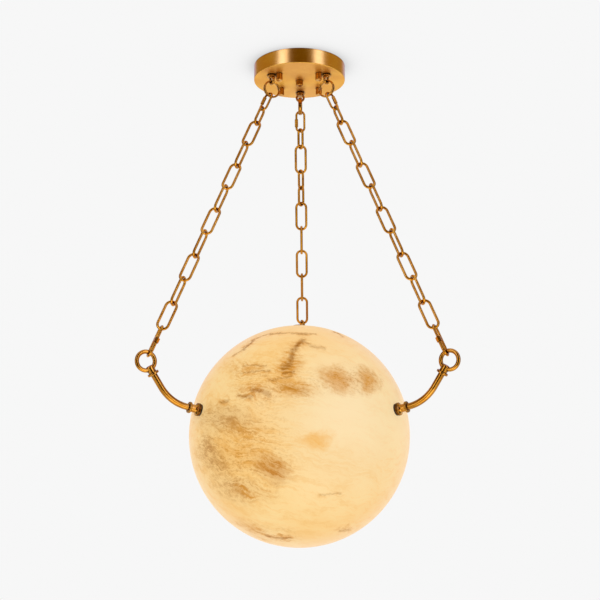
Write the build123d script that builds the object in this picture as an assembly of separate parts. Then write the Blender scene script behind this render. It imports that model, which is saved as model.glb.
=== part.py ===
from build123d import *

import os
from math import asin, cos, degrees, radians, tan

# Alabaster globe pendant light, hung from a round ceiling canopy by three chains.
# Millimetres, +Z up. The origin is the centre of the canopy's face against the ceiling,
# so the whole light hangs below it. One chain and arm stand at the back (+Y) and two at
# the front, 120 degrees apart. Each side is drawn in the XZ plane, with X pointing
# outwards, and then turned about Z to its own azimuth.

# The three sides, and how each chain's links are turned about the chain's own line:
# 0 lays a link in the radial plane and 90 lays it square to that plane. The first and
# the last turn are those of the screw links.
AZIMUTH = {"back": 90, "left": 210, "right": 330}
LINKS = {"back": "SLSSLLLLLLS", "left": "SLLLLLLLLL", "right": "SLLLLLLLLL"}
FRONT_TURNS = [-66, 42, -44, 46, -44, 46, -44, 46, -44, 46, -36, 86]
BACK_TURNS = [90, 30, 90, 30, -30, 90, 0, 90, 0, 90, 20, -45, 75]
TURNS = {
    "back": BACK_TURNS,
    "left": FRONT_TURNS,
    "right": [-turn for turn in FRONT_TURNS],
}

# Fits and seats
SEAT_GAP = 0.3
THREAD_GAP = 0.08
HOLE_GAP = 0.4
SKIN_GAP = 0.05

# Ceiling plate and the canopy that covers it
PLATE_RADIUS = 58
PLATE_THICKNESS = 2.5
SLOT_SPACING = 88.9
SLOT_WIDTH = 5.2
SLOT_LENGTH = 14
WIRE_HOLE_RADIUS = 9
WIRE_HOLE_Y = 24
CANOPY_RADIUS = 66
CANOPY_HEIGHT = 22
CANOPY_WALL = 1.5
CANOPY_EDGE = 0.8

# Studs that come down through the canopy, and the fluted nuts on them
STUD_CIRCLE = 39.5
STUDS = 4
STUD_RADIUS = 2
STUD_END = 7.5
NUT_RADIUS = 4.5
NUT_HEIGHT = 10.4
NUT_BORE_DEPTH = 8.5
CENTER_STUD_RADIUS = 3
CENTER_STUD_END = 4.5
CENTER_NUT_RADIUS = 5.2
CENTER_NUT_HEIGHT = 7
CENTER_NUT_BORE_DEPTH = 5.2
FLUTES = 14
FLUTE_RADIUS = 0.55
NUT_EDGE = 0.7

# Wiring inside the canopy
BLOCK_LENGTH = 28
BLOCK_DEPTH = 15
BLOCK_HEIGHT = 10
BLOCK_Y = -22
POLES = 3
POLE_PITCH = 8.5
WIRE_BORE_RADIUS = 1.8
WIRE_BORE_DROP = 3.2
CLAMP_SCREW_RADIUS = 1.9
CLAMP_SCREW_HEIGHT = 3
CLAMP_WELL_DEPTH = 4.5
GROUND_X = -22
GROUND_Y = 14
GROUND_HEAD_RADIUS = 4
GROUND_HEAD_HEIGHT = 2.6
GROUND_SHANK_RADIUS = 2
SCREW_SLOT = 1

# Eye bolts that hang from the canopy
HOOK_CIRCLE = 45
BELL_RADIUS = 7
BELL_TOP_RADIUS = 5.5
BELL_HEIGHT = 3.5
COLLAR_RADIUS = 4.8
COLLAR_HEIGHT = 2
EYE_RADIUS = 5.2
EYE_WIRE = 3.2
EYE_DROP = 8.2
SHANK_RADIUS = 2.5
LOCKNUT_FLATS = 8
LOCKNUT_HEIGHT = 4
WASHER_RADIUS = 5.5
WASHER_THICKNESS = 1
SHANK_PAST_NUT = 1.5

# Flat-section rings that hang in the eyes
HOOK_RING_RADIUS = 13
HOOK_RING_WALL = 2.8
HOOK_RING_WIDTH = 5.6
HOOK_RING_HANG = 1.5
HOOK_SLACK = 0.7

# Chain links. A pitch is one link's share of the chain's length.
LINK_WIRE = 3.6
LINK_SLACK = 0.2
LONG_PITCH = 37
LONG_SPREAD = 14.9
SHORT_SPREAD = 12.6

# Screw links at both ends of each chain
SCREW_WIRE = 3.2
TOP_INSIDE = 26.4
TOP_SPREAD = 11.8
SLEEVE_LENGTH = 11.5
SLEEVE_RADIUS = 2.5
SLEEVE_OFFSET = 2.2
BOTTOM_INSIDE = 40.7
BOTTOM_SPREAD = 13
BARREL_RADIUS = 2.15
HEX_FLATS = 6.3
HEX_LENGTH = 6.5
SCREW_OPENING = 3

# Arm rings
ARM_RING_CIRCLE = 224.3
ARM_RING_RADIUS = 12.2
ARM_RING_WIRE = 5.6
ARM_SLACK = 0.6

# Arms: knuckle at the ring, bent rod, turned spool at the globe
ARM_TOP_ANGLE = 56
ARM_FOOT_ANGLE = 10.5
ARM_RISE = 86.8
ROD_RADIUS = 4.25
ROD_BEND = 56
KNUCKLE_RADIUS = 5.3
KNUCKLE_CROWN = 1.9
KNUCKLE_NECK = 4.9
KNUCKLE_ROUND = 2.4
DISC_RADIUS = 7.7
DISC_THICKNESS = 3.2
EDGE_ROUND = 0.9
FLANGE_RADIUS = 8.5
FLANGE_THICKNESS = 4.2
COVE_LENGTH = 2.6
WAIST_RADIUS = 5.2
WAIST_LENGTH = 5.6
SPOOL_DISC_RADIUS = 7.5
SPOOL_STUD_RADIUS = 4

# Globe, the seals under the spools and the nuts inside
GLOBE_RADIUS = 150
GLOBE_WALL = 12
STUD_HOLE_RADIUS = 4.5
GASKET_RADIUS = 7.8
GASKET_THICKNESS = 1.5
INNER_GASKET_RADIUS = 9
INNER_GASKET_THICKNESS = 1.8
NUT_FLANGE_RADIUS = 8.5
NUT_FLANGE_THICKNESS = 1.6
ARM_NUT_FLATS = 13
ARM_NUT_HEIGHT = 6
STUD_PAST_NUT = 3

# Lift-out cap in the top of the globe
CAP_RADIUS = 24.4
CAP_SIDE_GAP = 0.6
LEDGE_RADIUS = 21
LEDGE_DEPTH = 8
SEAL_THICKNESS = 0.8
SEAL_INSET = 0.7

# Cord entry, lampholder and lamp that hang from the cap
NIPPLE_RADIUS = 5
NIPPLE_BORE = 3.3
NIPPLE_LENGTH = 32
NIPPLE_ENGAGED = 8
ROSETTE_RADIUS = 9
ROSETTE_HEIGHT = 2.6
ROSETTE_LIP = 0.9
ROSETTE_RECESS = 0.8
CAP_NUT_FLATS = 15
CAP_NUT_HEIGHT = 4
HOLDER_RADIUS = 14
HOLDER_LENGTH = 32
HOLDER_HEAD = 10
HOLDER_BORE = 8.2
LINER_RADIUS = 7.9
LINER_WALL = 0.5
LINER_LENGTH = 17
CONTACT_RADIUS = 3
CONTACT_THICKNESS = 2
CONTACT_BASE = 1
LAMP_BASE_RADIUS = 7
LAMP_BASE_LENGTH = 19
LAMP_TIP_RADIUS = 2.4
LAMP_TIP_LENGTH = 2
THREADS = 5
THREAD_PITCH = 2.8
THREAD_DEPTH = 0.6
LAMP_NECK_RADIUS = 7.4
LAMP_RADIUS = 18
LAMP_LENGTH = 74
LAMP_WALL = 1.2

# Places that follow from the sizes above
CANOPY_FACE = -CANOPY_HEIGHT
CANOPY_FLOOR = CANOPY_FACE + CANOPY_WALL
PLATE_FACE = -PLATE_THICKNESS
BLOCK_FACE = PLATE_FACE - BLOCK_HEIGHT
BELL_FOOT = CANOPY_FACE - BELL_HEIGHT
EYE_Z = CANOPY_FACE - EYE_DROP
HOOK_RING_MEAN = HOOK_RING_RADIUS - HOOK_RING_WALL / 2
HOOK_RING_Z = EYE_Z - HOOK_RING_HANG - HOOK_RING_MEAN

SHORT_PITCH = LONG_PITCH * 2 / 3
PITCH = {"S": SHORT_PITCH, "L": LONG_PITCH}
SPREAD = {"S": SHORT_SPREAD, "L": LONG_SPREAD}
CHAIN_START = HOOK_RING_RADIUS - HOOK_RING_WALL - HOOK_SLACK
LINKS_START = CHAIN_START + TOP_INSIDE - LINK_SLACK
LINKS_END = LINKS_START + sum(PITCH[size] for size in LINKS["left"])
CHAIN_END = LINKS_END + BOTTOM_INSIDE
CHAIN_REACH = CHAIN_END + ARM_RING_RADIUS - ARM_RING_WIRE / 2 - ARM_SLACK
CHAIN_LEAN = degrees(asin((ARM_RING_CIRCLE - HOOK_CIRCLE) / CHAIN_REACH))
ARM_RING_Z = HOOK_RING_Z - CHAIN_REACH * cos(radians(CHAIN_LEAN))

GLOBE_Z = ARM_RING_Z - ARM_RISE
GLOBE_TOP = GLOBE_Z + GLOBE_RADIUS
GLOBE_INSIDE = GLOBE_RADIUS - GLOBE_WALL
KNUCKLE_START = ARM_RING_RADIUS - ARM_RING_WIRE / 2 - KNUCKLE_CROWN
KNUCKLE_END = ARM_RING_RADIUS + KNUCKLE_NECK
ROD_START = KNUCKLE_END + DISC_THICKNESS
SPOOL_FOOT = GLOBE_RADIUS + GASKET_THICKNESS
SPOOL_END = SPOOL_FOOT + FLANGE_THICKNESS + COVE_LENGTH + WAIST_LENGTH + DISC_THICKNESS
ARM_NUT_SEAT = GLOBE_INSIDE - INNER_GASKET_THICKNESS
ARM_NUT_END = ARM_NUT_SEAT - NUT_FLANGE_THICKNESS - ARM_NUT_HEIGHT

LEDGE_Z = GLOBE_TOP - LEDGE_DEPTH
CAP_FOOT = LEDGE_Z + SEAL_THICKNESS + SEAT_GAP
ROSETTE_LOW = GLOBE_TOP - ROSETTE_RECESS
ROSETTE_TOP = ROSETTE_LOW + ROSETTE_HEIGHT
NIPPLE_TOP = ROSETTE_TOP - ROSETTE_LIP
NIPPLE_END = NIPPLE_TOP - NIPPLE_LENGTH
HOLDER_TOP = NIPPLE_END + NIPPLE_ENGAGED
HOLDER_FLOOR = HOLDER_TOP - HOLDER_HEAD
HOLDER_END = HOLDER_TOP - HOLDER_LENGTH
LAMP_TIP_Z = HOLDER_FLOOR - CONTACT_THICKNESS - SEAT_GAP
LAMP_BASE_TOP = LAMP_TIP_Z - LAMP_TIP_LENGTH
LAMP_BASE_END = LAMP_BASE_TOP - LAMP_BASE_LENGTH


def turned(points):
    """Solid turned about Z from its (radius, height) corners."""
    outline = Polyline([(radius, 0, height) for radius, height in points], close=True)
    return revolve(make_face(outline), Axis.Z)


def bar(radius, low, high):
    """Round bar on Z between two heights."""
    return Pos(0, 0, low) * extrude(Circle(radius), high - low)


def tube(radius, bore, low, high):
    """Round tube on Z between two heights."""
    return Pos(0, 0, low) * extrude(Circle(radius) - Circle(bore), high - low)


def hex_nut(flats, bore, low, high):
    """Hexagon nut on Z between two heights."""
    outline = RegularPolygon(flats / 2, 6, major_radius=False) - Circle(bore)
    return Pos(0, 0, low) * extrude(outline, high - low)


def rounded_disc(radius, low, high):
    """Disc on Z with both its edges rounded."""
    disc = bar(radius, low, high)
    return fillet(disc.edges().filter_by(GeomType.CIRCLE), EDGE_ROUND)


def fluted_nut(radius, height, bore, bore_depth):
    """Closed nut that hangs below Z = 0, fluted round its side, bored from the top."""
    flutes = PolarLocations(radius, FLUTES) * Circle(FLUTE_RADIUS)
    body = Pos(0, 0, -height) * extrude(Circle(radius) - flutes, height)
    envelope = turned([
        (0, 0),
        (radius, 0),
        (radius, NUT_EDGE - height),
        (radius - NUT_EDGE, -height),
        (0, -height),
    ])
    return (body & envelope) - bar(bore, -bore_depth, 1)


def wire_loop(inside, spread, wire):
    """Closed link in the XZ plane round the origin, with its long sides along Z."""
    straight = inside + wire - spread
    side = Pos(spread / 2, 0, 0) * bar(wire / 2, -straight / 2, straight / 2)
    section = Pos(spread / 2, 0) * Circle(wire / 2)
    bend = Pos(0, 0, -straight / 2) * revolve(section, Axis.Y, 180)
    return side + mirror(side, Plane.YZ) + bend + mirror(bend, Plane.XY)


def on_side(side, shape):
    """A piece drawn in the XZ plane, turned to its side's azimuth."""
    return Rot(0, 0, AZIMUTH[side]) * shape


def on_chain(distance, turn):
    """Place on the chain's line, a distance down from the hook ring's centre."""
    line = Pos(HOOK_CIRCLE, 0, HOOK_RING_Z) * Rot(0, -CHAIN_LEAN, 0)
    return line * Pos(0, 0, -distance) * Rot(0, 0, turn)


def aimed(x, z, angle):
    """Frame at a point of the XZ plane whose Z points outwards, raised by the angle."""
    return Pos(x, 0, z) * Rot(0, 90 - angle, 0)


def knuckle_frame():
    """Frame at the arm ring's centre whose Z runs down the arm."""
    return aimed(ARM_RING_CIRCLE, ARM_RING_Z, ARM_TOP_ANGLE + 180)


def spool_frame():
    """Frame at the globe's centre whose Z runs out through a spool."""
    return aimed(0, GLOBE_Z, ARM_FOOT_ANGLE)


def group(pieces):
    """Separate solids kept in one node."""
    return Compound([piece.solid() for piece in pieces])


def make_mounting_plate():
    outline = Circle(PLATE_RADIUS)
    for x in (-SLOT_SPACING / 2, SLOT_SPACING / 2):
        outline = outline - Pos(x, 0) * SlotOverall(SLOT_LENGTH, SLOT_WIDTH)
    outline = outline - Pos(GROUND_X, GROUND_Y) * Circle(GROUND_SHANK_RADIUS + THREAD_GAP)
    outline = outline - Pos(0, WIRE_HOLE_Y) * Circle(WIRE_HOLE_RADIUS)
    return Pos(0, 0, PLATE_FACE) * extrude(outline, PLATE_THICKNESS)


def stud_places():
    """Places of the outer studs, between the hooks."""
    step = 360 / STUDS
    return [Rot(0, 0, step * (number + 0.5)) * Pos(STUD_CIRCLE, 0, 0) for number in range(STUDS)]


def make_canopy_studs():
    outer = bar(STUD_RADIUS, CANOPY_FACE - STUD_END, PLATE_FACE)
    center = bar(CENTER_STUD_RADIUS, CANOPY_FACE - CENTER_STUD_END, PLATE_FACE)
    return group([place * outer for place in stud_places()] + [center])


def make_canopy():
    shell = bar(CANOPY_RADIUS, CANOPY_FACE, 0)
    shell = fillet(shell.edges().filter_by(GeomType.CIRCLE).sort_by(Axis.Z)[0], CANOPY_EDGE)
    shell = shell - bar(CANOPY_RADIUS - CANOPY_WALL, CANOPY_FLOOR, 1)
    stud_hole = bar(STUD_RADIUS + HOLE_GAP, CANOPY_FACE - 1, CANOPY_FLOOR + 1)
    center_hole = bar(CENTER_STUD_RADIUS + HOLE_GAP, CANOPY_FACE - 1, CANOPY_FLOOR + 1)
    shank_hole = bar(SHANK_RADIUS + HOLE_GAP, CANOPY_FACE - 1, CANOPY_FLOOR + 1)
    shell = shell - center_hole
    for place in stud_places():
        shell = shell - place * stud_hole
    for side in AZIMUTH:
        shell = shell - on_side(side, Pos(HOOK_CIRCLE, 0, 0) * shank_hole)
    return shell


def make_canopy_nut(place):
    nut = fluted_nut(NUT_RADIUS, NUT_HEIGHT, STUD_RADIUS + THREAD_GAP, NUT_BORE_DEPTH)
    return place * Pos(0, 0, CANOPY_FACE - SEAT_GAP) * nut


def make_center_nut():
    bore = CENTER_STUD_RADIUS + THREAD_GAP
    nut = fluted_nut(CENTER_NUT_RADIUS, CENTER_NUT_HEIGHT, bore, CENTER_NUT_BORE_DEPTH)
    return Pos(0, 0, CANOPY_FACE - SEAT_GAP) * nut


def pole_places():
    """Places of the terminal block's poles."""
    first = -POLE_PITCH * (POLES - 1) / 2
    return [Pos(first + POLE_PITCH * number, BLOCK_Y, 0) for number in range(POLES)]


def make_terminal_block():
    middle = (PLATE_FACE + BLOCK_FACE) / 2
    block = Pos(0, BLOCK_Y, middle) * Box(BLOCK_LENGTH, BLOCK_DEPTH, BLOCK_HEIGHT)
    wire_bore = Rot(90, 0, 0) * bar(WIRE_BORE_RADIUS, -BLOCK_DEPTH, BLOCK_DEPTH)
    well = bar(CLAMP_SCREW_RADIUS + THREAD_GAP, BLOCK_FACE - 1, BLOCK_FACE + CLAMP_WELL_DEPTH)
    for place in pole_places():
        block = block - place * Pos(0, 0, PLATE_FACE - WIRE_BORE_DROP) * wire_bore
        block = block - place * well
    return block


def slotted_head(radius, low, high):
    """Round screw head with a straight slot across its lower face."""
    return bar(radius, low, high) - Pos(0, 0, low) * Box(2 * radius, SCREW_SLOT, 2 * SCREW_SLOT)


def make_wiring_screws():
    seat = BLOCK_FACE + CLAMP_WELL_DEPTH
    clamp = slotted_head(CLAMP_SCREW_RADIUS, seat - CLAMP_SCREW_HEIGHT, seat)
    head = slotted_head(GROUND_HEAD_RADIUS, PLATE_FACE - GROUND_HEAD_HEIGHT, PLATE_FACE)
    ground = head + bar(GROUND_SHANK_RADIUS, PLATE_FACE, 0)
    return group([place * clamp for place in pole_places()] + [Pos(GROUND_X, GROUND_Y, 0) * ground])


def make_hook_bell():
    bore = SHANK_RADIUS + THREAD_GAP
    bell = turned([
        (bore, CANOPY_FACE),
        (BELL_TOP_RADIUS, CANOPY_FACE),
        (BELL_RADIUS, CANOPY_FACE - BELL_HEIGHT * 0.75),
        (COLLAR_RADIUS, BELL_FOOT),
        (bore, BELL_FOOT),
    ])
    rim = bell.edges().filter_by(GeomType.CIRCLE).sort_by(SortBy.RADIUS)[-1]
    return Pos(HOOK_CIRCLE, 0, 0) * fillet(rim, EDGE_ROUND / 2)


def make_eye_bolt():
    shank_top = CANOPY_FLOOR + WASHER_THICKNESS + LOCKNUT_HEIGHT + SHANK_PAST_NUT
    shank = bar(SHANK_RADIUS, BELL_FOOT, shank_top)
    collar = bar(COLLAR_RADIUS, BELL_FOOT - COLLAR_HEIGHT, BELL_FOOT)
    collar = fillet(collar.edges().filter_by(GeomType.CIRCLE).sort_by(Axis.Z)[0], EDGE_ROUND)
    eye = Pos(0, 0, EYE_Z) * revolve(Pos(0, EYE_RADIUS) * Circle(EYE_WIRE / 2), Axis.X)
    eye = eye - bar(2 * EYE_RADIUS, BELL_FOOT, CANOPY_FACE)
    return Pos(HOOK_CIRCLE, 0, 0) * (shank + collar + eye)


def make_hook_washer():
    bore = SHANK_RADIUS + SEAT_GAP
    washer = tube(WASHER_RADIUS, bore, CANOPY_FLOOR, CANOPY_FLOOR + WASHER_THICKNESS)
    return Pos(HOOK_CIRCLE, 0, 0) * washer


def make_hook_locknut():
    low = CANOPY_FLOOR + WASHER_THICKNESS
    nut = hex_nut(LOCKNUT_FLATS, SHANK_RADIUS + THREAD_GAP, low, low + LOCKNUT_HEIGHT)
    return Pos(HOOK_CIRCLE, 0, 0) * nut


def make_hook_ring():
    section = Pos(HOOK_RING_MEAN, 0) * Ellipse(HOOK_RING_WALL / 2, HOOK_RING_WIDTH / 2)
    return Pos(HOOK_CIRCLE, 0, HOOK_RING_Z) * revolve(section, Axis.Y)


def top_link_place(side):
    return on_chain(CHAIN_START + TOP_INSIDE / 2, TURNS[side][0])


def sleeve_height(side):
    """The back chain's sleeve hangs low on its link, and the front ones are screwed up."""
    return -SLEEVE_OFFSET if side == "back" else SLEEVE_OFFSET


def make_top_link(side):
    opening = Box(2 * SCREW_WIRE, 2 * SCREW_WIRE, SCREW_OPENING)
    opening = Pos(TOP_SPREAD / 2, 0, sleeve_height(side)) * opening
    return top_link_place(side) * (wire_loop(TOP_INSIDE, TOP_SPREAD, SCREW_WIRE) - opening)


def make_top_sleeve(side):
    middle = sleeve_height(side)
    bore = SCREW_WIRE / 2 + THREAD_GAP
    sleeve = tube(SLEEVE_RADIUS, bore, middle - SLEEVE_LENGTH / 2, middle + SLEEVE_LENGTH / 2)
    return top_link_place(side) * Pos(TOP_SPREAD / 2, 0, 0) * sleeve


def make_chain(side):
    """All the plain links of one chain, each a solid of its own."""
    links = []
    start = LINKS_START
    for size, turn in zip(LINKS[side], TURNS[side][1:-1]):
        inside = PITCH[size] + LINK_SLACK
        links.append(on_chain(start + inside / 2, turn) * wire_loop(inside, SPREAD[size], LINK_WIRE))
        start = start + PITCH[size]
    return group(links)


def bottom_link_place(side):
    return on_chain(LINKS_END + BOTTOM_INSIDE / 2, TURNS[side][-1])


def make_bottom_link(side):
    straight = BOTTOM_INSIDE + SCREW_WIRE - BOTTOM_SPREAD
    loop = wire_loop(BOTTOM_INSIDE, BOTTOM_SPREAD, SCREW_WIRE)
    barrel = bar(BARREL_RADIUS, -straight / 2, -HEX_LENGTH / 2 - SEAT_GAP)
    opening = Pos(BOTTOM_SPREAD / 2, 0, 0) * Box(2 * SCREW_WIRE, 2 * SCREW_WIRE, SCREW_OPENING)
    return bottom_link_place(side) * (loop + Pos(BOTTOM_SPREAD / 2, 0, 0) * barrel - opening)


def make_bottom_nut(side):
    bore = SCREW_WIRE / 2 + THREAD_GAP
    nut = hex_nut(HEX_FLATS, bore, -HEX_LENGTH / 2, HEX_LENGTH / 2)
    return bottom_link_place(side) * Pos(BOTTOM_SPREAD / 2, 0, 0) * nut


def ring_in_arm(wire_radius):
    """Round ring in the XZ plane about the arm ring's centre."""
    section = Pos(ARM_RING_RADIUS, 0) * Circle(wire_radius)
    return Pos(ARM_RING_CIRCLE, 0, ARM_RING_Z) * revolve(section, Axis.Y)


def make_arm_knuckle():
    """Round-nosed knuckle that the ring passes through, with the disc that backs it."""
    nose = bar(KNUCKLE_RADIUS, KNUCKLE_START, KNUCKLE_END)
    nose = fillet(nose.edges().filter_by(GeomType.CIRCLE).sort_by(Axis.Z)[0], KNUCKLE_ROUND)
    knuckle = nose + rounded_disc(DISC_RADIUS, KNUCKLE_END, ROD_START)
    return knuckle_frame() * knuckle - ring_in_arm(ARM_RING_WIRE / 2 + SEAT_GAP)


def make_arm_rod():
    """Bent rod from the knuckle's disc to the spool's disc."""
    start = (knuckle_frame() * Pos(0, 0, ROD_START)).position
    end = (spool_frame() * Pos(0, 0, SPOOL_END)).position
    down = (knuckle_frame() * Pos(0, 0, ROD_START + 1)).position - start
    out = (spool_frame() * Pos(0, 0, SPOOL_END + 1)).position - end
    across = start - end
    reach = (across.X * down.Z - across.Z * down.X) / (out.X * down.Z - out.Z * down.X)
    corner = end + out * reach
    trim = ROD_BEND * tan(radians((ARM_TOP_ANGLE - ARM_FOOT_ANGLE) / 2))
    bend_start = corner - down * trim
    bend_end = corner - out * trim
    first = Line(start, bend_start)
    bend = TangentArc(bend_start, bend_end, tangent=down)
    last = Line(bend_end, end)
    section = Plane(origin=start, z_dir=down) * Circle(ROD_RADIUS)
    return sweep(section, path=Wire([first, bend, last]))


def make_arm_spool():
    """Turned spool with its flange at the globe and the stud that goes through the wall."""
    flange_top = SPOOL_FOOT + FLANGE_THICKNESS
    waist_low = flange_top + COVE_LENGTH
    waist_top = waist_low + WAIST_LENGTH
    foot = rounded_disc(FLANGE_RADIUS, SPOOL_FOOT, flange_top)
    cove = turned([
        (0, flange_top),
        (FLANGE_RADIUS - EDGE_ROUND, flange_top),
        (WAIST_RADIUS + EDGE_ROUND / 2, flange_top + COVE_LENGTH / 2),
        (WAIST_RADIUS, waist_low),
        (WAIST_RADIUS, waist_top),
        (0, waist_top),
    ])
    stud = bar(SPOOL_STUD_RADIUS, ARM_NUT_END - STUD_PAST_NUT, SPOOL_FOOT)
    spool = foot + cove + rounded_disc(SPOOL_DISC_RADIUS, waist_top, SPOOL_END) + stud
    return spool_frame() * spool


def seat_gasket_pair():
    """Soft washers on both faces of the globe's wall, shaped to its curve."""
    outer = tube(GASKET_RADIUS, STUD_HOLE_RADIUS, GLOBE_RADIUS - 1, SPOOL_FOOT)
    outer = outer - Sphere(GLOBE_RADIUS + SKIN_GAP)
    inner = tube(INNER_GASKET_RADIUS, STUD_HOLE_RADIUS, ARM_NUT_SEAT, GLOBE_INSIDE)
    inner = inner & Sphere(GLOBE_INSIDE - SKIN_GAP)
    return [spool_frame() * outer, spool_frame() * inner]


def make_arm_nut():
    """Flanged nut inside the globe."""
    bore = SPOOL_STUD_RADIUS + THREAD_GAP
    flange_low = ARM_NUT_SEAT - NUT_FLANGE_THICKNESS
    nut = hex_nut(ARM_NUT_FLATS, bore, ARM_NUT_END, flange_low)
    return spool_frame() * (nut + tube(NUT_FLANGE_RADIUS, bore, flange_low, ARM_NUT_SEAT))


def make_globe_shell():
    shell = Pos(0, 0, GLOBE_Z) * (Sphere(GLOBE_RADIUS) - Sphere(GLOBE_INSIDE))
    shell = shell - bar(CAP_RADIUS + CAP_SIDE_GAP, LEDGE_Z, GLOBE_TOP + 1)
    shell = shell - bar(LEDGE_RADIUS, LEDGE_Z - GLOBE_WALL, GLOBE_TOP + 1)
    hole = spool_frame() * bar(STUD_HOLE_RADIUS, GLOBE_INSIDE - GLOBE_WALL, GLOBE_RADIUS + 1)
    for side in AZIMUTH:
        shell = shell - on_side(side, hole)
    return shell


def make_globe_cap():
    cap = Pos(0, 0, GLOBE_Z) * Sphere(GLOBE_RADIUS)
    cap = cap & bar(CAP_RADIUS, CAP_FOOT, GLOBE_TOP + 1)
    cap = cap - bar(ROSETTE_RADIUS + SEAT_GAP, ROSETTE_LOW, GLOBE_TOP + 1)
    return cap - bar(NIPPLE_RADIUS + HOLE_GAP, CAP_FOOT - 1, GLOBE_TOP + 1)


def make_cap_seal():
    outer = CAP_RADIUS + CAP_SIDE_GAP - SEAL_INSET
    return tube(outer, LEDGE_RADIUS + SEAL_INSET, LEDGE_Z, LEDGE_Z + SEAL_THICKNESS)


def make_cord_rosette():
    disc = bar(ROSETTE_RADIUS, ROSETTE_LOW, ROSETTE_TOP)
    disc = fillet(disc.edges().filter_by(GeomType.CIRCLE).sort_by(Axis.Z)[-1], EDGE_ROUND)
    disc = disc - bar(NIPPLE_RADIUS + THREAD_GAP, ROSETTE_LOW, NIPPLE_TOP)
    return disc - bar(NIPPLE_BORE, NIPPLE_TOP, ROSETTE_TOP)


def make_cap_nut():
    return hex_nut(CAP_NUT_FLATS, NIPPLE_RADIUS + THREAD_GAP, CAP_FOOT - CAP_NUT_HEIGHT, CAP_FOOT)


def make_lamp_nipple():
    return tube(NIPPLE_RADIUS, NIPPLE_BORE, NIPPLE_END, NIPPLE_TOP)


def make_lampholder():
    body = bar(HOLDER_RADIUS, HOLDER_END, HOLDER_TOP)
    body = fillet(body.edges().filter_by(GeomType.CIRCLE), EDGE_ROUND)
    body = body - bar(HOLDER_BORE, HOLDER_END - 1, HOLDER_FLOOR)
    return body - bar(NIPPLE_RADIUS + THREAD_GAP, HOLDER_FLOOR - 1, HOLDER_TOP + 1)


def make_holder_contacts():
    """Thin screw shell and the end contact above it."""
    shell_low = LAMP_BASE_TOP - LINER_LENGTH
    shell = tube(LINER_RADIUS, LINER_RADIUS - LINER_WALL, shell_low, LAMP_BASE_TOP)
    tab = bar(CONTACT_RADIUS, HOLDER_FLOOR - CONTACT_THICKNESS, HOLDER_FLOOR)
    tab = tab + bar(HOLDER_BORE - SKIN_GAP, HOLDER_FLOOR - CONTACT_BASE, HOLDER_FLOOR)
    return group([shell, tab])


def make_lamp_base():
    """Threaded metal base with its end contact."""
    root = LAMP_BASE_RADIUS - THREAD_DEPTH
    points = [
        (0, LAMP_TIP_Z),
        (LAMP_TIP_RADIUS, LAMP_TIP_Z),
        (LAMP_TIP_RADIUS, LAMP_BASE_TOP),
        (root, LAMP_BASE_TOP),
    ]
    for number in range(THREADS):
        low = LAMP_BASE_TOP - THREAD_PITCH * (number + 1)
        points.append((LAMP_BASE_RADIUS, low + THREAD_PITCH / 2))
        points.append((root, low))
    points.append((LAMP_BASE_RADIUS, low - THREAD_DEPTH))
    points.append((LAMP_BASE_RADIUS, LAMP_BASE_END))
    points.append((0, LAMP_BASE_END))
    return turned(points)


def lamp_form(inset):
    """Candle-shaped solid, drawn in by an inset, from the metal base down to the tip."""
    foot = (0, 0, LAMP_BASE_END)
    tip = (0, 0, LAMP_BASE_END - LAMP_LENGTH + inset)
    neck = (LAMP_NECK_RADIUS - inset, 0, LAMP_BASE_END)
    belly = (LAMP_RADIUS - inset, 0, LAMP_BASE_END - LAMP_LENGTH * 0.42)
    taper = (LAMP_RADIUS * 0.6 - inset, 0, LAMP_BASE_END - LAMP_LENGTH * 0.8)
    wall = Spline(neck, belly, taper, tip, tangents=[(0, 0, -1), (-1, 0, 0)])
    outline = make_face([Line(foot, neck), wall, Line(tip, foot)])
    return revolve(outline, Axis.Z)


def make_lamp_bulb():
    """Thin-walled lamp, open where its neck meets the metal base."""
    return lamp_form(0) - lamp_form(LAMP_WALL)


os.makedirs("parts", exist_ok=True)

parts = {
    "mounting_plate": make_mounting_plate(),
    "canopy_studs": make_canopy_studs(),
    "canopy": make_canopy(),
    "center_cap_nut": make_center_nut(),
    "terminal_block": make_terminal_block(),
    "wiring_screws": make_wiring_screws(),
    "hook_bells": group([on_side(side, make_hook_bell()) for side in AZIMUTH]),
    "hook_washers": group([on_side(side, make_hook_washer()) for side in AZIMUTH]),
    "hook_locknuts": group([on_side(side, make_hook_locknut()) for side in AZIMUTH]),
    "seat_gaskets": group([on_side(side, half) for side in AZIMUTH for half in seat_gasket_pair()]),
    "globe_shell": make_globe_shell(),
    "globe_cap": make_globe_cap(),
    "cap_seal": make_cap_seal(),
    "cord_rosette": make_cord_rosette(),
    "cap_nut": make_cap_nut(),
    "lamp_nipple": make_lamp_nipple(),
    "lampholder": make_lampholder(),
    "holder_contacts": make_holder_contacts(),
    "lamp_base": make_lamp_base(),
    "lamp_bulb": make_lamp_bulb(),
}

NUT_NAMES = ["back_right", "back_left", "front_left", "front_right"]
for name, place in zip(NUT_NAMES, stud_places()):
    parts["canopy_nut_" + name] = make_canopy_nut(place)

for side in AZIMUTH:
    parts["eye_bolt_" + side] = on_side(side, make_eye_bolt())
    parts["hook_ring_" + side] = on_side(side, make_hook_ring())
    parts["top_link_" + side] = on_side(side, make_top_link(side))
    parts["top_sleeve_" + side] = on_side(side, make_top_sleeve(side))
    parts["chain_" + side] = on_side(side, make_chain(side))
    parts["bottom_link_" + side] = on_side(side, make_bottom_link(side))
    parts["bottom_nut_" + side] = on_side(side, make_bottom_nut(side))
    parts["arm_ring_" + side] = on_side(side, ring_in_arm(ARM_RING_WIRE / 2))
    parts["arm_knuckle_" + side] = on_side(side, make_arm_knuckle())
    parts["arm_rod_" + side] = on_side(side, make_arm_rod())
    parts["arm_spool_" + side] = on_side(side, make_arm_spool())
    parts["arm_nut_" + side] = on_side(side, make_arm_nut())

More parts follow.
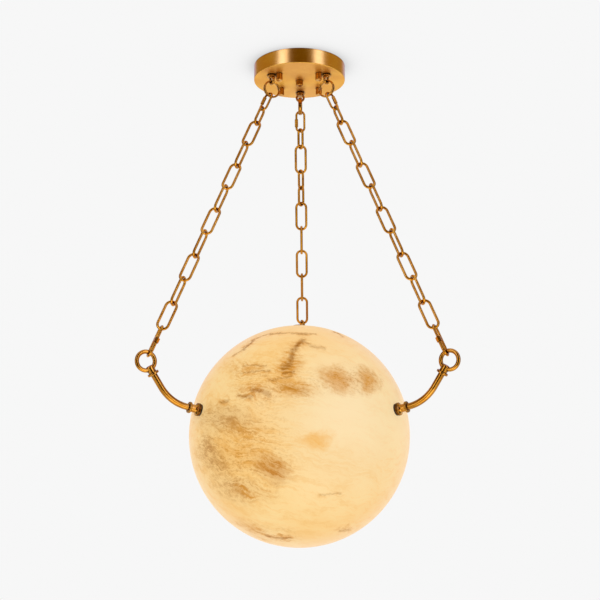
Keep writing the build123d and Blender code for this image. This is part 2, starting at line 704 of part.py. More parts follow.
for name, shape in parts.items():
    export_step(shape, "parts/" + name + ".step")
    print(name, round(shape.volume), "mm3", len(shape.solids()), "solids")
print("chain lean", round(CHAIN_LEAN, 3), "reach", round(CHAIN_REACH, 2))
print("hook ring height", round(HOOK_RING_Z, 2), "arm ring height", round(ARM_RING_Z, 2))
print("globe centre", round(GLOBE_Z, 2), "lamp base end", round(LAMP_BASE_END, 2))
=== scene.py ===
# %% [markdown]
# # A stone globe on three chains
# This lesson dresses a finished model of a pendant light: an alabaster globe that hangs
# on three brass chains from a round ceiling canopy. The shapes come from the model, so
# the work here is the camera, the light and the finishes: brushed brass, spools with dark
# painted rims, and stone that glows from the lamp inside it.

# %% Load the model
import bmesh
import bpy
import math
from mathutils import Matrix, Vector


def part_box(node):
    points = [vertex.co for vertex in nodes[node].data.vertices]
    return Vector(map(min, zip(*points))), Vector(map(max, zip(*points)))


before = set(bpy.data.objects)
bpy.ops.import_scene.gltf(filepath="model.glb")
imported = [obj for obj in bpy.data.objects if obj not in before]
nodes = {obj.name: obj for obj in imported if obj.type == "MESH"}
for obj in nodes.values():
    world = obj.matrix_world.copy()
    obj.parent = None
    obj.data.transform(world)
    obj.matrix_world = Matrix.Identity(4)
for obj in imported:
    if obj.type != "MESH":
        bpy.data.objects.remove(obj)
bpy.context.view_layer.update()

# %% [markdown]
# ## The camera
# The picture of the real light was taken from a little below the globe, looking up. The
# place and the lens were worked out from the canopy's width, the globe's outline and the
# places of the hooks, to lay the model over the picture.

# %% Camera
CAMERA_PLACE = (0.0376, -1.4854, -0.6423)
CAMERA_TURN = (math.radians(90 + 11.238), 0, math.radians(1.42))
CAMERA_LENS = 65.01

camera_data = bpy.data.cameras.new("camera")
camera_data.lens = CAMERA_LENS
camera_data.sensor_width = 36
camera = bpy.data.objects.new("camera", camera_data)
camera.location = CAMERA_PLACE
camera.rotation_euler = CAMERA_TURN
bpy.context.scene.collection.objects.link(camera)
bpy.context.scene.camera = camera
bpy.context.scene.view_settings.view_transform = "Standard"
print("camera at", CAMERA_PLACE)

# %% [markdown]
# ## A small language for finishes
# A finish is a tree of nodes. Writing each node and link by hand hides the idea, so one
# class wraps a socket and lets sums be written as sums. Another one keeps the tree and
# adds any node from its type, its settings and what goes into its sockets.


# %% Values
class Value:
    """A socket of a node tree. Sums on it add Math nodes."""

    def __init__(self, finish, socket):
        self.finish = finish
        self.socket = socket

    def math(self, operation, first, second=0.0, clamp=False):
        settings = {"operation": operation, "use_clamp": clamp}
        return self.finish.node("ShaderNodeMath", settings, {0: first, 1: second})

    def __add__(self, other):
        return self.math("ADD", self, other)

    def __radd__(self, other):
        return self.math("ADD", other, self)

    def __sub__(self, other):
        return self.math("SUBTRACT", self, other)

    def __rsub__(self, other):
        return self.math("SUBTRACT", other, self)

    def __mul__(self, other):
        return self.math("MULTIPLY", self, other)

    def __rmul__(self, other):
        return self.math("MULTIPLY", other, self)

    def least(self, other):
        return self.math("MINIMUM", self, other)

    def most(self, other):
        return self.math("MAXIMUM", self, other)

    def clamped(self):
        return self.math("ADD", self, 0.0, clamp=True)

# %% Finishes
class Finish:
    """The nodes of one new material, or of an owner such as the world."""

    def __init__(self, name, owner=None):
        self.material = owner or bpy.data.materials.new(name)
        self.material.use_nodes = True
        self.tree = self.material.node_tree
        self.tree.nodes.clear()

    def node(self, kind, settings=None, sockets=None, output=0):
        """Adds a node of any type: its settings first, then what goes into its sockets."""
        made = self.tree.nodes.new(kind)
        for key, value in (settings or {}).items():
            setattr(made, key, value)
        for key, value in (sockets or {}).items():
            if isinstance(value, Value):
                self.tree.links.new(value.socket, made.inputs[key])
            else:
                made.inputs[key].default_value = value
        return Value(self, made.outputs[output]) if made.outputs else None

    def place(self):
        """Where the shaded point is, in metres, in the object's own frame."""
        return self.node("ShaderNodeTexCoord", output="Object")

    def vector(self, operation, first, second):
        settings = {"operation": operation}
        return self.node("ShaderNodeVectorMath", settings, {0: first, 1: second})

    def length(self, vector):
        settings = {"operation": "LENGTH"}
        return self.node("ShaderNodeVectorMath", settings, {0: vector}, "Value")

    def stretched(self, vector, scale):
        return self.node("ShaderNodeMapping", sockets={"Vector": vector, "Scale": scale})

    def grained(self, vector, sizes, turn):
        """The vector counted in grains of the given sizes, along lines turned about Z."""
        sockets = {"Vector": vector, "Scale": sizes, "Rotation": (0, 0, turn)}
        return self.node("ShaderNodeMapping", {"vector_type": "TEXTURE"}, sockets)

    def closed_in(self, distance, samples=6):
        """1 in the open, and less where another surface is nearer than the distance."""
        settings = {"samples": samples}
        return self.node("ShaderNodeAmbientOcclusion", settings, {"Distance": distance}, "AO")

    def noise(self, vector, scale, detail=3.0, roughness=0.5, distortion=0.0):
        sockets = {
            "Vector": vector, "Scale": scale, "Detail": detail,
            "Roughness": roughness, "Distortion": distortion,
        }
        return self.node("ShaderNodeTexNoise", sockets=sockets)

    def ease(self, value, low, high):
        """0 below low, 1 above high, and a smooth step between them."""
        settings = {"interpolation_type": "SMOOTHSTEP"}
        return self.node("ShaderNodeMapRange", settings, {0: value, 1: low, 2: high})

    def along(self, vector, direction):
        """How far a vector reaches along a direction."""
        settings = {"operation": "DOT_PRODUCT"}
        return self.node("ShaderNodeVectorMath", settings, {0: vector, 1: direction}, "Value")

    def blend(self, share, first, second):
        """A mix of two colours, all of the second one where the share is 1."""
        sockets = {0: share, 6: first, 7: second}
        return self.node("ShaderNodeMix", {"data_type": "RGBA"}, sockets, 2)

    def bump(self, height, strength, distance):
        sockets = {"Height": height, "Strength": strength, "Distance": distance}
        return self.node("ShaderNodeBump", sockets=sockets)

    def finish(self, **sockets):
        """Adds the surface shader and the output. Underscores in names stand for spaces."""
        named = {key.replace("_", " "): value for key, value in sockets.items()}
        self.show(self.node("ShaderNodeBsdfPrincipled", sockets=named))
        return self.material

    def show(self, surface, kind="ShaderNodeOutputMaterial"):
        """Joins the surface to the output."""
        self.node(kind, sockets={"Surface": surface})


def rgb(code):
    """A colour as it looks on screen, such as D8A048, as the linear one that Blender uses."""
    shares = [int(code[i:i + 2], 16) / 255 for i in (0, 2, 4)]
    linear = [s / 12.92 if s <= 0.04045 else ((s + 0.055) / 1.055) ** 2.4 for s in shares]
    return (*linear, 1.0)


def paint(material, *names):
    """Gives pieces of the model a finish."""
    for name in names:
        for place in nodes[name].material_slots:
            place.material = material


SIDES = ("back", "left", "right")
print("brass gold in linear light", [round(share, 3) for share in rgb("F0B860")[:3]])

# %% [markdown]
# ## Brushed brass
# The canopy is drawn brass that was brushed round and round on a lathe, then lacquered.
# Its hairlines run round the wall, so noise that is stretched along the ring and very
# tight along Z gives them. They show as small changes of roughness and of height, and a
# slower noise warms and cools the colour as handling does. Grooves also stretch each
# reflection across themselves, which the shader's anisotropy stands for.
#
# Corners that the room's light hardly reaches get painted shade. A node that asks how
# closed in a point is finds them: under a nut, in a flute, and where one chain link rests
# in the next, and there the colour turns to a dark shade tone.


# %% Brass
FINE_RELIEF = 0.0003
CANOPY_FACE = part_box("canopy")[0][2]
FACE_END, WALL_START = CANOPY_FACE + 0.0003, CANOPY_FACE + 0.0015


def brass(name, light, deep, painted_shade_tone, roughness, line_scale, lines_deep, reach,
          grooves=0.0, lacquer=0.0, face_roughness=None):
    """Brass from a light and a deep tone, with painted shade in its recesses.

    A face roughness is for the canopy alone, whose face is duller than its wall.
    """
    metal = Finish(name)
    place = metal.place()
    lines = metal.noise(metal.stretched(place, line_scale), 1.0, 2.0, 0.6)
    clouds = metal.noise(place, 34.0, 3.0, 0.55)
    share = metal.ease(clouds * 0.7 + lines * 0.3, 0.36, 0.66)
    # Painted shade: where another surface is near, the colour turns to the dark shade tone.
    unshaded_share = metal.ease(metal.closed_in(reach), 0.30, 0.95)
    colour = metal.blend(share, rgb(deep), rgb(light))
    colour = metal.blend(unshaded_share, rgb(painted_shade_tone), colour)
    if face_roughness is not None:
        height = metal.along(place, (0, 0, 1))
        wall = metal.ease(height, FACE_END, WALL_START)
        roughness = face_roughness + wall * (roughness - face_roughness)
    return metal.finish(
        Base_Color=colour, Metallic=1.0, Anisotropic=grooves,
        Coat_Weight=lacquer, Coat_Roughness=0.18,
        Roughness=roughness + (lines - 0.5) * 0.10 + (clouds - 0.5) * 0.08,
        Normal=metal.bump(lines, lines_deep, FINE_RELIEF),
    )


# The third colour of each brass is the tone of its painted shade.
canopy_brass = brass(
    "canopy_brass", "F8BE54", "EEAC46", "7A4C10", 0.18, (25, 25, 2600), 0.06, 0.003,
    grooves=0.7, face_roughness=0.44)
nut_brass = brass(
    "nut_brass", "E2A648", "B67E2C", "1E0F02", 0.22, (60, 60, 900), 0.03, 0.0012)
turned_brass = brass(
    "turned_brass", "D49636", "A0691A", "1A0D02", 0.18, (60, 60, 1300), 0.02, 0.003,
    lacquer=0.2)
chain_brass = brass(
    "chain_brass", "E09E32", "B87612", "221202", 0.20, (60, 60, 120), 0.0, 0.0026,
    lacquer=0.12)
arm_brass = brass(
    "arm_brass", "CC8C2E", "A66A10", "221202", 0.20, (80, 80, 500), 0.01, 0.0035,
    lacquer=0.2)
print("five brass finishes made")

# %% [markdown]
# The spool between arm and stone has two tones. Its rim by the stone is painted dark brown,
# a painted reflection of the dark room round it, its far collar gets about half of that dark,
# and the barrel between them is bright gold. A point's distance from the globe's centre says
# which part of the spool it lies on, on all three sides at once.

# %% Globe frame
GLOBE_LOW, GLOBE_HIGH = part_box("globe_shell")
GLOBE_RADIUS = (GLOBE_HIGH[0] - GLOBE_LOW[0]) / 2
GLOBE_CENTER = Vector((0, 0, GLOBE_LOW[2] + GLOBE_RADIUS))
print("globe radius", round(GLOBE_RADIUS, 4), "centre", GLOBE_CENTER)

# %% Spool
FLANGE_END, FLANGE_BLUR = 0.0056, 0.0006
COLLAR_START, COLLAR_BLUR = 0.0150, 0.0004
RAGGED_BY = 0.0012


def spool_finish(name):
    spool = Finish(name)
    place = spool.place()
    away = spool.length(spool.vector("SUBTRACT", place, GLOBE_CENTER)) - GLOBE_RADIUS
    ragged = away + (spool.noise(place, 500.0, 2.0, 0.6) - 0.5) * RAGGED_BY
    flange = 1 - spool.ease(ragged, FLANGE_END - FLANGE_BLUR, FLANGE_END + FLANGE_BLUR)
    collar = spool.ease(ragged, COLLAR_START - COLLAR_BLUR, COLLAR_START + COLLAR_BLUR)
    # Painted reflection: the rim by the stone takes the dark tone, and the far collar takes
    # about half of it.
    dark = flange.most(collar * 0.45)
    clouds = spool.noise(place, 120.0, 3.0, 0.6)
    gold = spool.blend(spool.ease(clouds, 0.35, 0.65), rgb("B67C28"), rgb("DB9F46"))
    dark_rim_tone = spool.blend(spool.ease(clouds, 0.40, 0.70), rgb("4A2C0A"), rgb("8E5E20"))
    # Painted shade: where another surface is near, the colour turns near black.
    unshaded_share = spool.ease(spool.closed_in(0.0035), 0.25, 0.85)
    colour = spool.blend(unshaded_share, rgb("241404"), spool.blend(dark, gold, dark_rim_tone))
    return spool.finish(
        Base_Color=colour, Metallic=1.0, Roughness=0.24 + dark * 0.1,
        Normal=spool.bump(clouds, 0.05, FINE_RELIEF),
    )


# %% Put the brass on
paint(canopy_brass, "canopy")
paint(nut_brass, "center_cap_nut")
paint(turned_brass, "hook_bells", "lamp_nipple", "cord_rosette")
paint(turned_brass, "lamp_base", "holder_contacts")
for corner in ("back_right", "back_left", "front_left", "front_right"):
    paint(nut_brass, "canopy_nut_" + corner)
spool_metal = spool_finish("spool_brass")
for side in SIDES:
    paint(turned_brass, "eye_bolt_" + side, "hook_ring_" + side)
    paint(chain_brass, "top_link_" + side, "top_sleeve_" + side, "chain_" + side)
    paint(chain_brass, "bottom_link_" + side, "bottom_nut_" + side)
    paint(arm_brass, "arm_ring_" + side, "arm_knuckle_" + side, "arm_rod_" + side)
    paint(spool_metal, "arm_spool_" + side)
print("brass is on", len(SIDES), "sides")

# %% [markdown]
# ## The stone
# Alabaster is soft, milky and full of iron-brown veins, and a lamp inside makes it glow
# most where nothing darkens it. Real light through 12 mm of stone scatters so much that
# the globe looks evenly lit, so a share of the colour is given off and a share answers
# the room's light. The pattern has four layers: slow warm clouds, fibres that fan out
# from the left, the brown veins in their places on the side that faces the camera, and
# generic veins of the same kind all round the back.

# %% Stone frame
FRONT = (Vector(CAMERA_PLACE) - GLOBE_CENTER).normalized()
RIGHT = Vector((-FRONT.y, FRONT.x, 0)).normalized()
UP = FRONT.cross(RIGHT)
print("front", FRONT, "right", RIGHT, "up", UP)

# %% [markdown]
# A vein is a line of short straight runs. Its mask comes from the distance between the
# shaded point and each run, after a noise has pushed the point about, so the line frays.
# A cloud is a tilted oval whose edge the same noise breaks up. Both are written in the
# globe's own radii, from its centre, to the right and up as seen from the front.

# %% Veins and clouds
# Each vein: its points, half width, strength.
VEINS = [
    ([(0.029, 0.807), (-0.019, 0.761), (-0.053, 0.716), (-0.066, 0.650)], 0.014, 1.00),
    ([(-0.066, 0.650), (-0.079, 0.600), (-0.133, 0.558)], 0.018, 0.85),
    ([(-0.132, 0.517), (-0.045, 0.523)], 0.007, 0.85),
    ([(0.029, 0.807), (0.111, 0.757), (0.207, 0.744)], 0.008, 0.50),
    ([(-0.587, 0.687), (-0.481, 0.752), (-0.408, 0.833), (-0.324, 0.877), (-0.210, 0.889),
      (-0.068, 0.889), (0.043, 0.880), (0.142, 0.882)], 0.0045, 0.60),
    ([(-0.488, 0.747), (-0.448, 0.789), (-0.401, 0.835)], 0.008, 0.75),
    ([(0.303, 0.924), (0.360, 0.902), (0.385, 0.866)], 0.0045, 0.60),
    ([(-0.392, 0.377), (-0.318, 0.365), (-0.250, 0.332)], 0.014, 0.85),
    ([(-0.508, 0.328), (-0.404, 0.317)], 0.011, 0.80),
    ([(-0.662, 0.279), (-0.605, 0.287)], 0.010, 0.70),
    ([(-0.144, 0.401), (-0.038, 0.380), (0.054, 0.349)], 0.018, 0.25),
    ([(-0.287, -0.859), (-0.204, -0.875), (-0.080, -0.877)], 0.007, 0.75),
    ([(0.173, -0.497), (0.252, -0.485), (0.346, -0.480)], 0.005, 0.35),
    ([(0.344, -0.820), (0.429, -0.811)], 0.008, 0.45),
    ([(-0.477, 0.589), (-0.406, 0.593), (-0.282, 0.579)], 0.006, 0.50),
    ([(-0.501, 0.519), (-0.404, 0.536), (-0.254, 0.542)], 0.006, 0.55),
    ([(-0.252, 0.456), (-0.145, 0.469), (-0.065, 0.496)], 0.007, 0.50),
]
# Each cloud: centre, radii, tilt in degrees, strength, its colour, and how solid it is.
OCHRE, BROWN, UMBER, SMOKE = "F8BE62", "D68C14", "C07608", "BE8A4A"
CLOUDS = [
    ((-0.43, -0.09), (0.58, 0.56), -20, 0.70, OCHRE, 0.45),
    ((-0.17, 0.60), (0.34, 0.22), -20, 0.75, OCHRE, 0.40),
    ((-0.25, 0.44), (0.42, 0.11), -12, 0.80, OCHRE, 0.40),
    ((0.145, -0.039), (0.17, 0.09), 8, 0.85, "F6B450", 0.75),
    ((0.26, -0.25), (0.40, 0.26), 0, 0.40, "F5C47A", 0.50),
    ((-0.066, 0.607), (0.13, 0.15), 20, 0.90, BROWN, 0.45),
    ((-0.038, 0.380), (0.24, 0.08), -12, 0.90, BROWN, 0.40),
    ((0.303, 0.471), (0.18, 0.13), -25, 1.00, BROWN, 0.70),
    ((0.566, 0.472), (0.13, 0.15), 25, 0.95, BROWN, 0.65),
    ((-0.643, 0.139), (0.34, 0.15), -6, 0.85, SMOKE, 0.30),
    ((-0.780, -0.102), (0.12, 0.15), 10, 0.90, SMOKE, 0.15),
    ((-0.420, 0.019), (0.30, 0.10), -14, 0.55, BROWN, 0.12),
    ((-0.366, -0.190), (0.40, 0.14), -18, 0.65, BROWN, 0.12),
    ((-0.208, -0.293), (0.18, 0.13), -20, 1.00, UMBER, 0.50),
    ((-0.547, -0.432), (0.28, 0.12), -16, 0.90, SMOKE, 0.15),
    ((-0.383, -0.468), (0.22, 0.08), -10, 0.85, BROWN, 0.15),
    ((-0.699, -0.221), (0.22, 0.14), -20, 0.75, SMOKE, 0.15),
    ((-0.382, -0.802), (0.20, 0.06), -25, 0.70, BROWN, 0.25),
    ((-0.176, -0.869), (0.22, 0.04), -4, 0.70, BROWN, 0.25),
    ((0.386, -0.815), (0.11, 0.03), 12, 0.50, BROWN, 0.30),
    ((-0.433, 0.559), (0.24, 0.10), -10, 0.55, BROWN, 0.12),
    ((-0.360, 0.360), (0.26, 0.07), -8, 0.60, BROWN, 0.12),
]

# Fields of thin dark strands: centre, radii, tilt in degrees, strength.
STRAND_FIELDS = [
    ((-0.46, -0.12), (0.50, 0.52), -15, 0.50),
    ((-0.25, 0.45), (0.50, 0.22), -12, 0.45),
    ((0.42, 0.47), (0.36, 0.16), 0, 0.55),
    ((-0.26, -0.83), (0.32, 0.10), -10, 0.50),
]


def vein_mask(stone, point, places, half_width):
    """1 on a broken line through the places, and 0 away from it."""
    nearest = None
    for first, second in zip(places, places[1:]):
        start = Vector((*first, 0))
        run = Vector((*second, 0)) - start
        offset = stone.vector("SUBTRACT", point, start)
        share = stone.along(offset, run / run.length_squared).clamped()
        foot = stone.node("ShaderNodeVectorMath", {"operation": "SCALE"}, {0: run, 3: share})
        away = stone.vector("SUBTRACT", offset, foot)
        distance = stone.length(away)
        nearest = distance if nearest is None else nearest.least(distance)
    return 1 - stone.ease(nearest, 0, half_width * 2.6)


def cloud_mask(stone, point, center, radii, tilt):
    """1 in the middle of a tilted oval, and 0 outside it."""
    sockets = {
        "Vector": point, "Location": (*center, 0),
        "Rotation": (0, 0, math.radians(tilt)), "Scale": (*radii, 1),
    }
    own = stone.node("ShaderNodeMapping", {"vector_type": "TEXTURE"}, sockets)
    return 1 - stone.ease(stone.length(own), 0.10, 1.20)


# %% [markdown]
# The fibres of this stone run slightly down to the right and split into hairs. Noise that
# is stretched along that line gives a hair; a first noise that bends the line keeps the
# hairs from lying parallel. Where a cloud and the hairs meet, the stone turns brown.


# %% Alabaster
FIBRE_TURN = math.radians(-15)
SHINE_PLACE = (0.45, 0.15, 0)
HELD_BACK = 0.64
GLOW = 0.64


def alabaster(name):
    stone = Finish(name)
    place = stone.place()
    centered = stone.vector("SUBTRACT", place, GLOBE_CENTER)
    across = stone.along(centered, RIGHT / GLOBE_RADIUS)
    up = stone.along(centered, UP / GLOBE_RADIUS)
    front = stone.along(centered, FRONT / GLOBE_RADIUS)
    facing_frame = stone.node("ShaderNodeCombineXYZ", sockets={0: across, 1: up, 2: front})

    other_frame = stone.vector("ADD", facing_frame, (5.3, 2.1, 7.7))
    sway_x = stone.noise(facing_frame, 3.2, 4.0, 0.55) - 0.5
    sway_y = stone.noise(other_frame, 3.4, 4.0, 0.55) - 0.5
    fray_x = stone.noise(facing_frame, 16.0, 5.0, 0.65) - 0.5
    fray_y = stone.noise(other_frame, 16.0, 5.0, 0.65) - 0.5
    flat = stone.node("ShaderNodeCombineXYZ", sockets={0: across, 1: up})
    loose = stone.node("ShaderNodeCombineXYZ", sockets={
        0: across + sway_x * 0.20 + fray_x * 0.16, 1: up + sway_y * 0.16 + fray_y * 0.12})
    tight = stone.node("ShaderNodeCombineXYZ", sockets={
        0: across + fray_x * 0.06, 1: up + fray_y * 0.06})
    bent = stone.node("ShaderNodeCombineXYZ", sockets={
        0: across + sway_x * 0.12 + fray_x * 0.05, 1: up + sway_y * 0.22 + fray_y * 0.03,
        2: front})

    fibres = stone.noise(stone.grained(bent, (0.30, 0.070, 0.16), FIBRE_TURN), 1.0, 7.0, 0.72)
    hairs = stone.noise(stone.grained(bent, (0.12, 0.022, 0.06), FIBRE_TURN), 1.0, 6.0, 0.75)
    strands = stone.noise(stone.grained(bent, (0.17, 0.014, 0.05), FIBRE_TURN), 1.0, 4.0, 0.6)
    slow = stone.noise(facing_frame, 1.4, 3.0, 0.5)
    grain = stone.noise(facing_frame, 48.0, 5.0, 0.80)

    # Painted light: the stone turns a paler cream round a place right of the middle, a painted
    # pool of light, and its hairs fade there.
    from_shine = stone.length(stone.vector("SUBTRACT", flat, SHINE_PLACE))
    shine = 1 - stone.ease(from_shine, 0.1, 1.0)
    warm = stone.ease(fibres * 0.4 + slow * 0.6, 0.36, 0.62)
    colour = stone.blend(warm, rgb("FFDB98"), rgb("FCCE84"))
    colour = stone.blend(shine * 0.85, colour, rgb("FFE5B4"))
    # Painted shade: toward the outline as seen from the front, the colour turns to a paler,
    # cooler cream for the way the light falls off at the rim.
    edge = 1 - stone.ease(front, 0.0, 0.62)
    colour = stone.blend(edge * 0.7, colour, rgb("FADAB6"))
    soft_hairs = stone.ease(hairs * 0.4 + fibres * 0.6, 0.48, 0.62)
    colour = stone.blend(soft_hairs * 0.45 * (1 - shine * 0.7), colour, rgb("F4BE6C"))

    pattern = fibres * 0.34 + hairs * 0.34 + strands * 0.16 + grain * 0.16
    broken = stone.ease(pattern, 0.445, 0.575)
    facing = stone.ease(front, -0.05, 0.20)
    for center, radii, tilt, strength, tint, solid in CLOUDS:
        mask = cloud_mask(stone, loose, center, radii, tilt) * (broken * (1 - solid) + solid)
        colour = stone.blend(mask * facing * strength, colour, rgb(tint))
    thin = stone.ease(strands * 0.5 + grain * 0.5, 0.47, 0.64)
    for center, radii, tilt, strength in STRAND_FIELDS:
        mask = cloud_mask(stone, loose, center, radii, tilt) * thin
        colour = stone.blend(mask * facing * strength, colour, rgb("B8761C"))
    for places, half_width, strength in VEINS:
        halo = vein_mask(stone, tight, places, half_width * 2.6) * broken
        colour = stone.blend(halo * facing * (strength * 0.75), colour, rgb("D88E24"))
        core = vein_mask(stone, tight, places, half_width) * (broken * 0.5 + 0.5)
        colour = stone.blend(core * facing * strength, colour, rgb("A06200"))

    patch = stone.ease(stone.noise(facing_frame, 1.9, 4.0, 0.6), 0.48, 0.66)
    behind = 1 - stone.ease(front, -0.20, 0.15)
    colour = stone.blend(patch * behind * 0.5, colour, rgb(OCHRE))
    colour = stone.blend(broken * patch * behind * 0.8, colour, rgb(BROWN))

    lit = stone.blend(HELD_BACK, colour, (0.0, 0.0, 0.0, 1.0))
    return stone.finish(
        Base_Color=lit, Roughness=grain * 0.12 + 0.40, Specular_IOR_Level=0.22,
        Emission_Color=colour, Emission_Strength=GLOW,
        Normal=stone.bump(grain * 0.5 + hairs * 0.5, 0.05, 0.0006),
    )


stone_finish = alabaster("alabaster")
paint(stone_finish, "globe_shell", "globe_cap")
print("stone made with", len(stone_finish.node_tree.nodes), "nodes")

# %% [markdown]
# ## The hidden pieces
# The plate, studs and nuts inside the canopy are zinc-plated steel, the seals are black
# rubber, the lampholder is porcelain and the terminal block is moulded plastic. They
# only show when the light is turned over or opened, yet each gets its own surface.


# %% Plain finishes
def speckled(name, light, dark, roughness, metallic=0.0, scale=300.0, depth=0.05):
    plain = Finish(name)
    place = plain.place()
    specks = plain.noise(place, scale, 4.0, 0.65)
    clouds = plain.noise(place, scale / 12, 3.0, 0.5)
    share = plain.ease(specks * 0.5 + clouds * 0.5, 0.35, 0.65)
    return plain.finish(
        Base_Color=plain.blend(share, dark, light), Metallic=metallic,
        Roughness=roughness + (specks - 0.5) * 0.15,
        Normal=plain.bump(specks, depth, FINE_RELIEF),
    )


zinc = speckled("zinc_steel", rgb("C4C4C0"), rgb("9A9C98"), 0.35, 1.0)
rubber = speckled("seal_rubber", rgb("2A2624"), rgb("14110F"), 0.7)
porcelain = speckled("porcelain", rgb("F0EEE8"), rgb("DEDAD0"), 0.18, depth=0.02)
block_plastic = speckled("block_plastic", rgb("EAEAE6"), rgb("D6D6D0"), 0.45)
paint(zinc, "mounting_plate", "canopy_studs", "wiring_screws", "hook_washers", "hook_locknuts")
paint(zinc, "cap_nut", *["arm_nut_" + side for side in SIDES])
paint(rubber, "seat_gaskets", "cap_seal")
paint(porcelain, "lampholder")
paint(block_plastic, "terminal_block")
print("plain finishes made")

# %% [markdown]
# ## The lamp
# The candle lamp is opal glass with its light behind it, so most of its colour is given
# off. It hangs inside the stone and only shows when the cap is lifted out.


# %% Opal lamp
def opal_glass(name):
    opal = Finish(name)
    place = opal.place()
    haze = opal.noise(place, 60.0, 3.0, 0.5)
    colour = opal.blend(opal.ease(haze, 0.3, 0.7), rgb("FFE2B4"), rgb("FFF1D8"))
    return opal.finish(
        Base_Color=colour, Roughness=0.25 + haze * 0.1,
        Emission_Color=colour, Emission_Strength=0.5,
    )


paint(opal_glass("opal_glass"), "lamp_bulb")
print("lamp made")

# %% [markdown]
# ## The ceiling and the light
# The light hangs from a plain white ceiling, which in the picture runs into a white
# backdrop. The world gives that white to the camera and to mirror-like rays. The ceiling
# gives off the same white and only darkens close to the canopy, where the canopy keeps
# the room's light from it; from above it lets the view through. Two tall soft boxes put
# the long streaks on the brass, a third one lights it from below, and dark cards that the
# camera doesn't see give the metal its depth.

# %% World
WHITE = 0.93
DIM_WHITE = 0.55
PLAIN_WHITE = (1, 1, 1, 1)

world = bpy.data.worlds.new("room")
bpy.context.scene.world = world
room = Finish("room", world)
seen = 0.0
for ray in ("Is Camera Ray", "Is Glossy Ray", "Is Transmission Ray"):
    seen = room.node("ShaderNodeLightPath", output=ray).most(seen)
brightness = seen * (WHITE - DIM_WHITE) + DIM_WHITE
backdrop = room.node(
    "ShaderNodeBackground", sockets={"Color": PLAIN_WHITE, "Strength": brightness})
room.show(backdrop, "ShaderNodeOutputWorld")
print("world white", WHITE)


# %% Ceiling
def flat_card(name, width, height):
    """A flat sheet in the XY plane about the origin, facing +Z."""
    mesh = bpy.data.meshes.new(name)
    sheet = bmesh.new()
    bmesh.ops.create_grid(sheet, x_segments=1, y_segments=1, size=0.5)
    bmesh.ops.scale(sheet, vec=(width, height, 1), verts=sheet.verts)
    sheet.to_mesh(mesh)
    sheet.free()
    card = bpy.data.objects.new(name, mesh)
    bpy.context.scene.collection.objects.link(card)
    return card


CEILING_SIZE = 14
CEILING_GAP = 0.0004
SHADE = 0.48
SHADE_REACH = 0.18

ceiling = flat_card("ceiling", CEILING_SIZE, CEILING_SIZE)
ceiling.location = (0, 0, CEILING_GAP)
ceiling.rotation_euler = (math.pi, 0, 0)
white = Finish("ceiling_white")
tone = white.ease(white.closed_in(SHADE_REACH, 16), 0.20, 1.0) * (WHITE - SHADE) + SHADE
glow = white.node("ShaderNodeEmission", sockets={"Color": PLAIN_WHITE, "Strength": tone})
open_air = white.node("ShaderNodeBsdfTransparent")
from_above = white.node("ShaderNodeNewGeometry", output="Backfacing")
white.show(white.node("ShaderNodeMixShader", sockets={0: from_above, 1: glow, 2: open_air}))
ceiling.data.materials.append(white.material)
ceiling.visible_glossy = False
print("ceiling up")

# %% [markdown]
# From below, the canopy's wall mirrors what stands high round the room. In the picture
# that is a dark room with one bright window on each side. A tall band far outside, seen
# by mirror-like rays alone, holds the same: dark, with soft bright stripes, and two faint
# ones behind for the canopy's far edges.

# %% Room band
BAND_RADIUS, BAND_HEIGHT, BAND_MIDDLE = 3.0, 2.7, 1.55
# Each window: its azimuth in degrees, 0 toward the camera, and its strength.
WINDOWS = ((-40, 1.0), (50, 1.0), (155, 0.15), (-155, 0.15))
WINDOW_LIGHT = (1.6, 1.88, 5.1, 1)
WALL_LIGHT, FRONT_WALL_LIGHT = (0.42, 0.31, 0.12, 1), (0.17, 0.11, 0.01, 1)

band_mesh = bpy.data.meshes.new("room_band")
band = bmesh.new()
bmesh.ops.create_cone(
    band, cap_ends=False, segments=96, radius1=BAND_RADIUS, radius2=BAND_RADIUS,
    depth=BAND_HEIGHT)
band.to_mesh(band_mesh)
band.free()
room_band = bpy.data.objects.new("room_band", band_mesh)
bpy.context.scene.collection.objects.link(room_band)
room_band.location = (0, 0, BAND_MIDDLE)
for seen_by in ("visible_camera", "visible_diffuse", "visible_shadow", "visible_transmission"):
    setattr(room_band, seen_by, False)

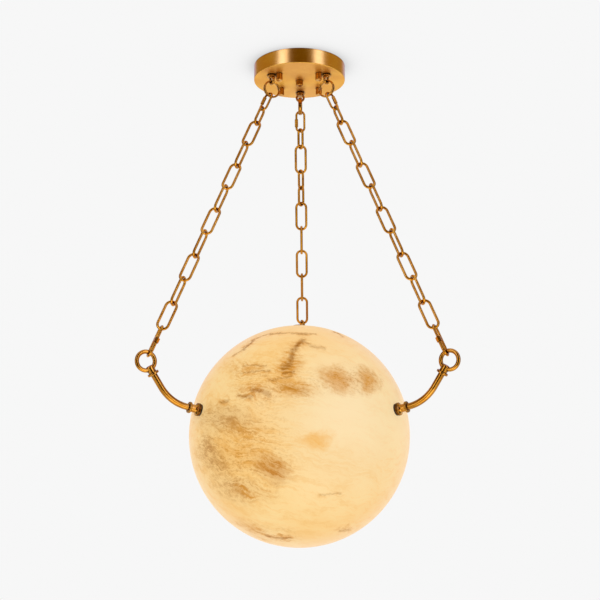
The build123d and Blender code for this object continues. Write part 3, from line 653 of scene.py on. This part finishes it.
stripes = Finish("room_stripes")
outward = stripes.node("ShaderNodeVectorMath", {"operation": "MULTIPLY"},
                       {0: stripes.place(), 1: (1 / BAND_RADIUS, 1 / BAND_RADIUS, 0)})
windows = 0.0
for azimuth, strength in WINDOWS:
    angle = math.radians(azimuth)
    toward = stripes.along(outward, (math.sin(angle), -math.cos(angle), 0))
    windows = windows + stripes.ease(toward, 0.955, 0.999) * strength
ahead = stripes.ease(stripes.along(outward, (0, -1, 0)), 0.70, 0.98)
walls = stripes.blend(ahead, WALL_LIGHT, FRONT_WALL_LIGHT)
room_light = stripes.blend(windows.clamped(), walls, WINDOW_LIGHT)
stripes.show(stripes.node("ShaderNodeEmission", sockets={"Color": room_light}))
band_mesh.materials.append(stripes.material)
print("band with", len(WINDOWS), "windows")


# %% Lights
def soft_box(name, place, aim, width, height, power):
    data = bpy.data.lights.new(name, "AREA")
    data.shape = "RECTANGLE"
    data.size, data.size_y = width, height
    data.energy = power
    lamp = bpy.data.objects.new(name, data)
    lamp.location = place
    lamp.rotation_euler = (Vector(aim) - Vector(place)).to_track_quat("-Z", "Y").to_euler()
    bpy.context.scene.collection.objects.link(lamp)
    return lamp


AIM = (0, 0, -0.35)
POWER = 5
CARD_AWAY, CARD_HEIGHT, CARD_MIDDLE = 2.6, 2.6, -0.5
soft_box("box_left", (-1.5, -1.7, -0.3), AIM, 0.35, 1.8, POWER)
soft_box("box_right", (1.5, -1.7, -0.3), AIM, 0.35, 1.8, POWER)
soft_box("box_below", (0.2, -0.9, -1.6), AIM, 1.0, 1.0, POWER)

card_paint = Finish("card_black").finish(Base_Color=(0.02, 0.017, 0.014, 1), Roughness=0.9)
for name, azimuth, width in (("front", 0, 3.2), ("left", -88, 1.6), ("right", 88, 1.6)):
    angle = math.radians(azimuth)
    card = flat_card("card_" + name, width, CARD_HEIGHT)
    card.location = (CARD_AWAY * math.sin(angle), -CARD_AWAY * math.cos(angle), CARD_MIDDLE)
    card.rotation_euler = (math.pi / 2, 0, angle)
    card.data.materials.append(card_paint)
    for seen_by in ("visible_camera", "visible_diffuse", "visible_shadow"):
        setattr(card, seen_by, False)
print("lights and cards set")
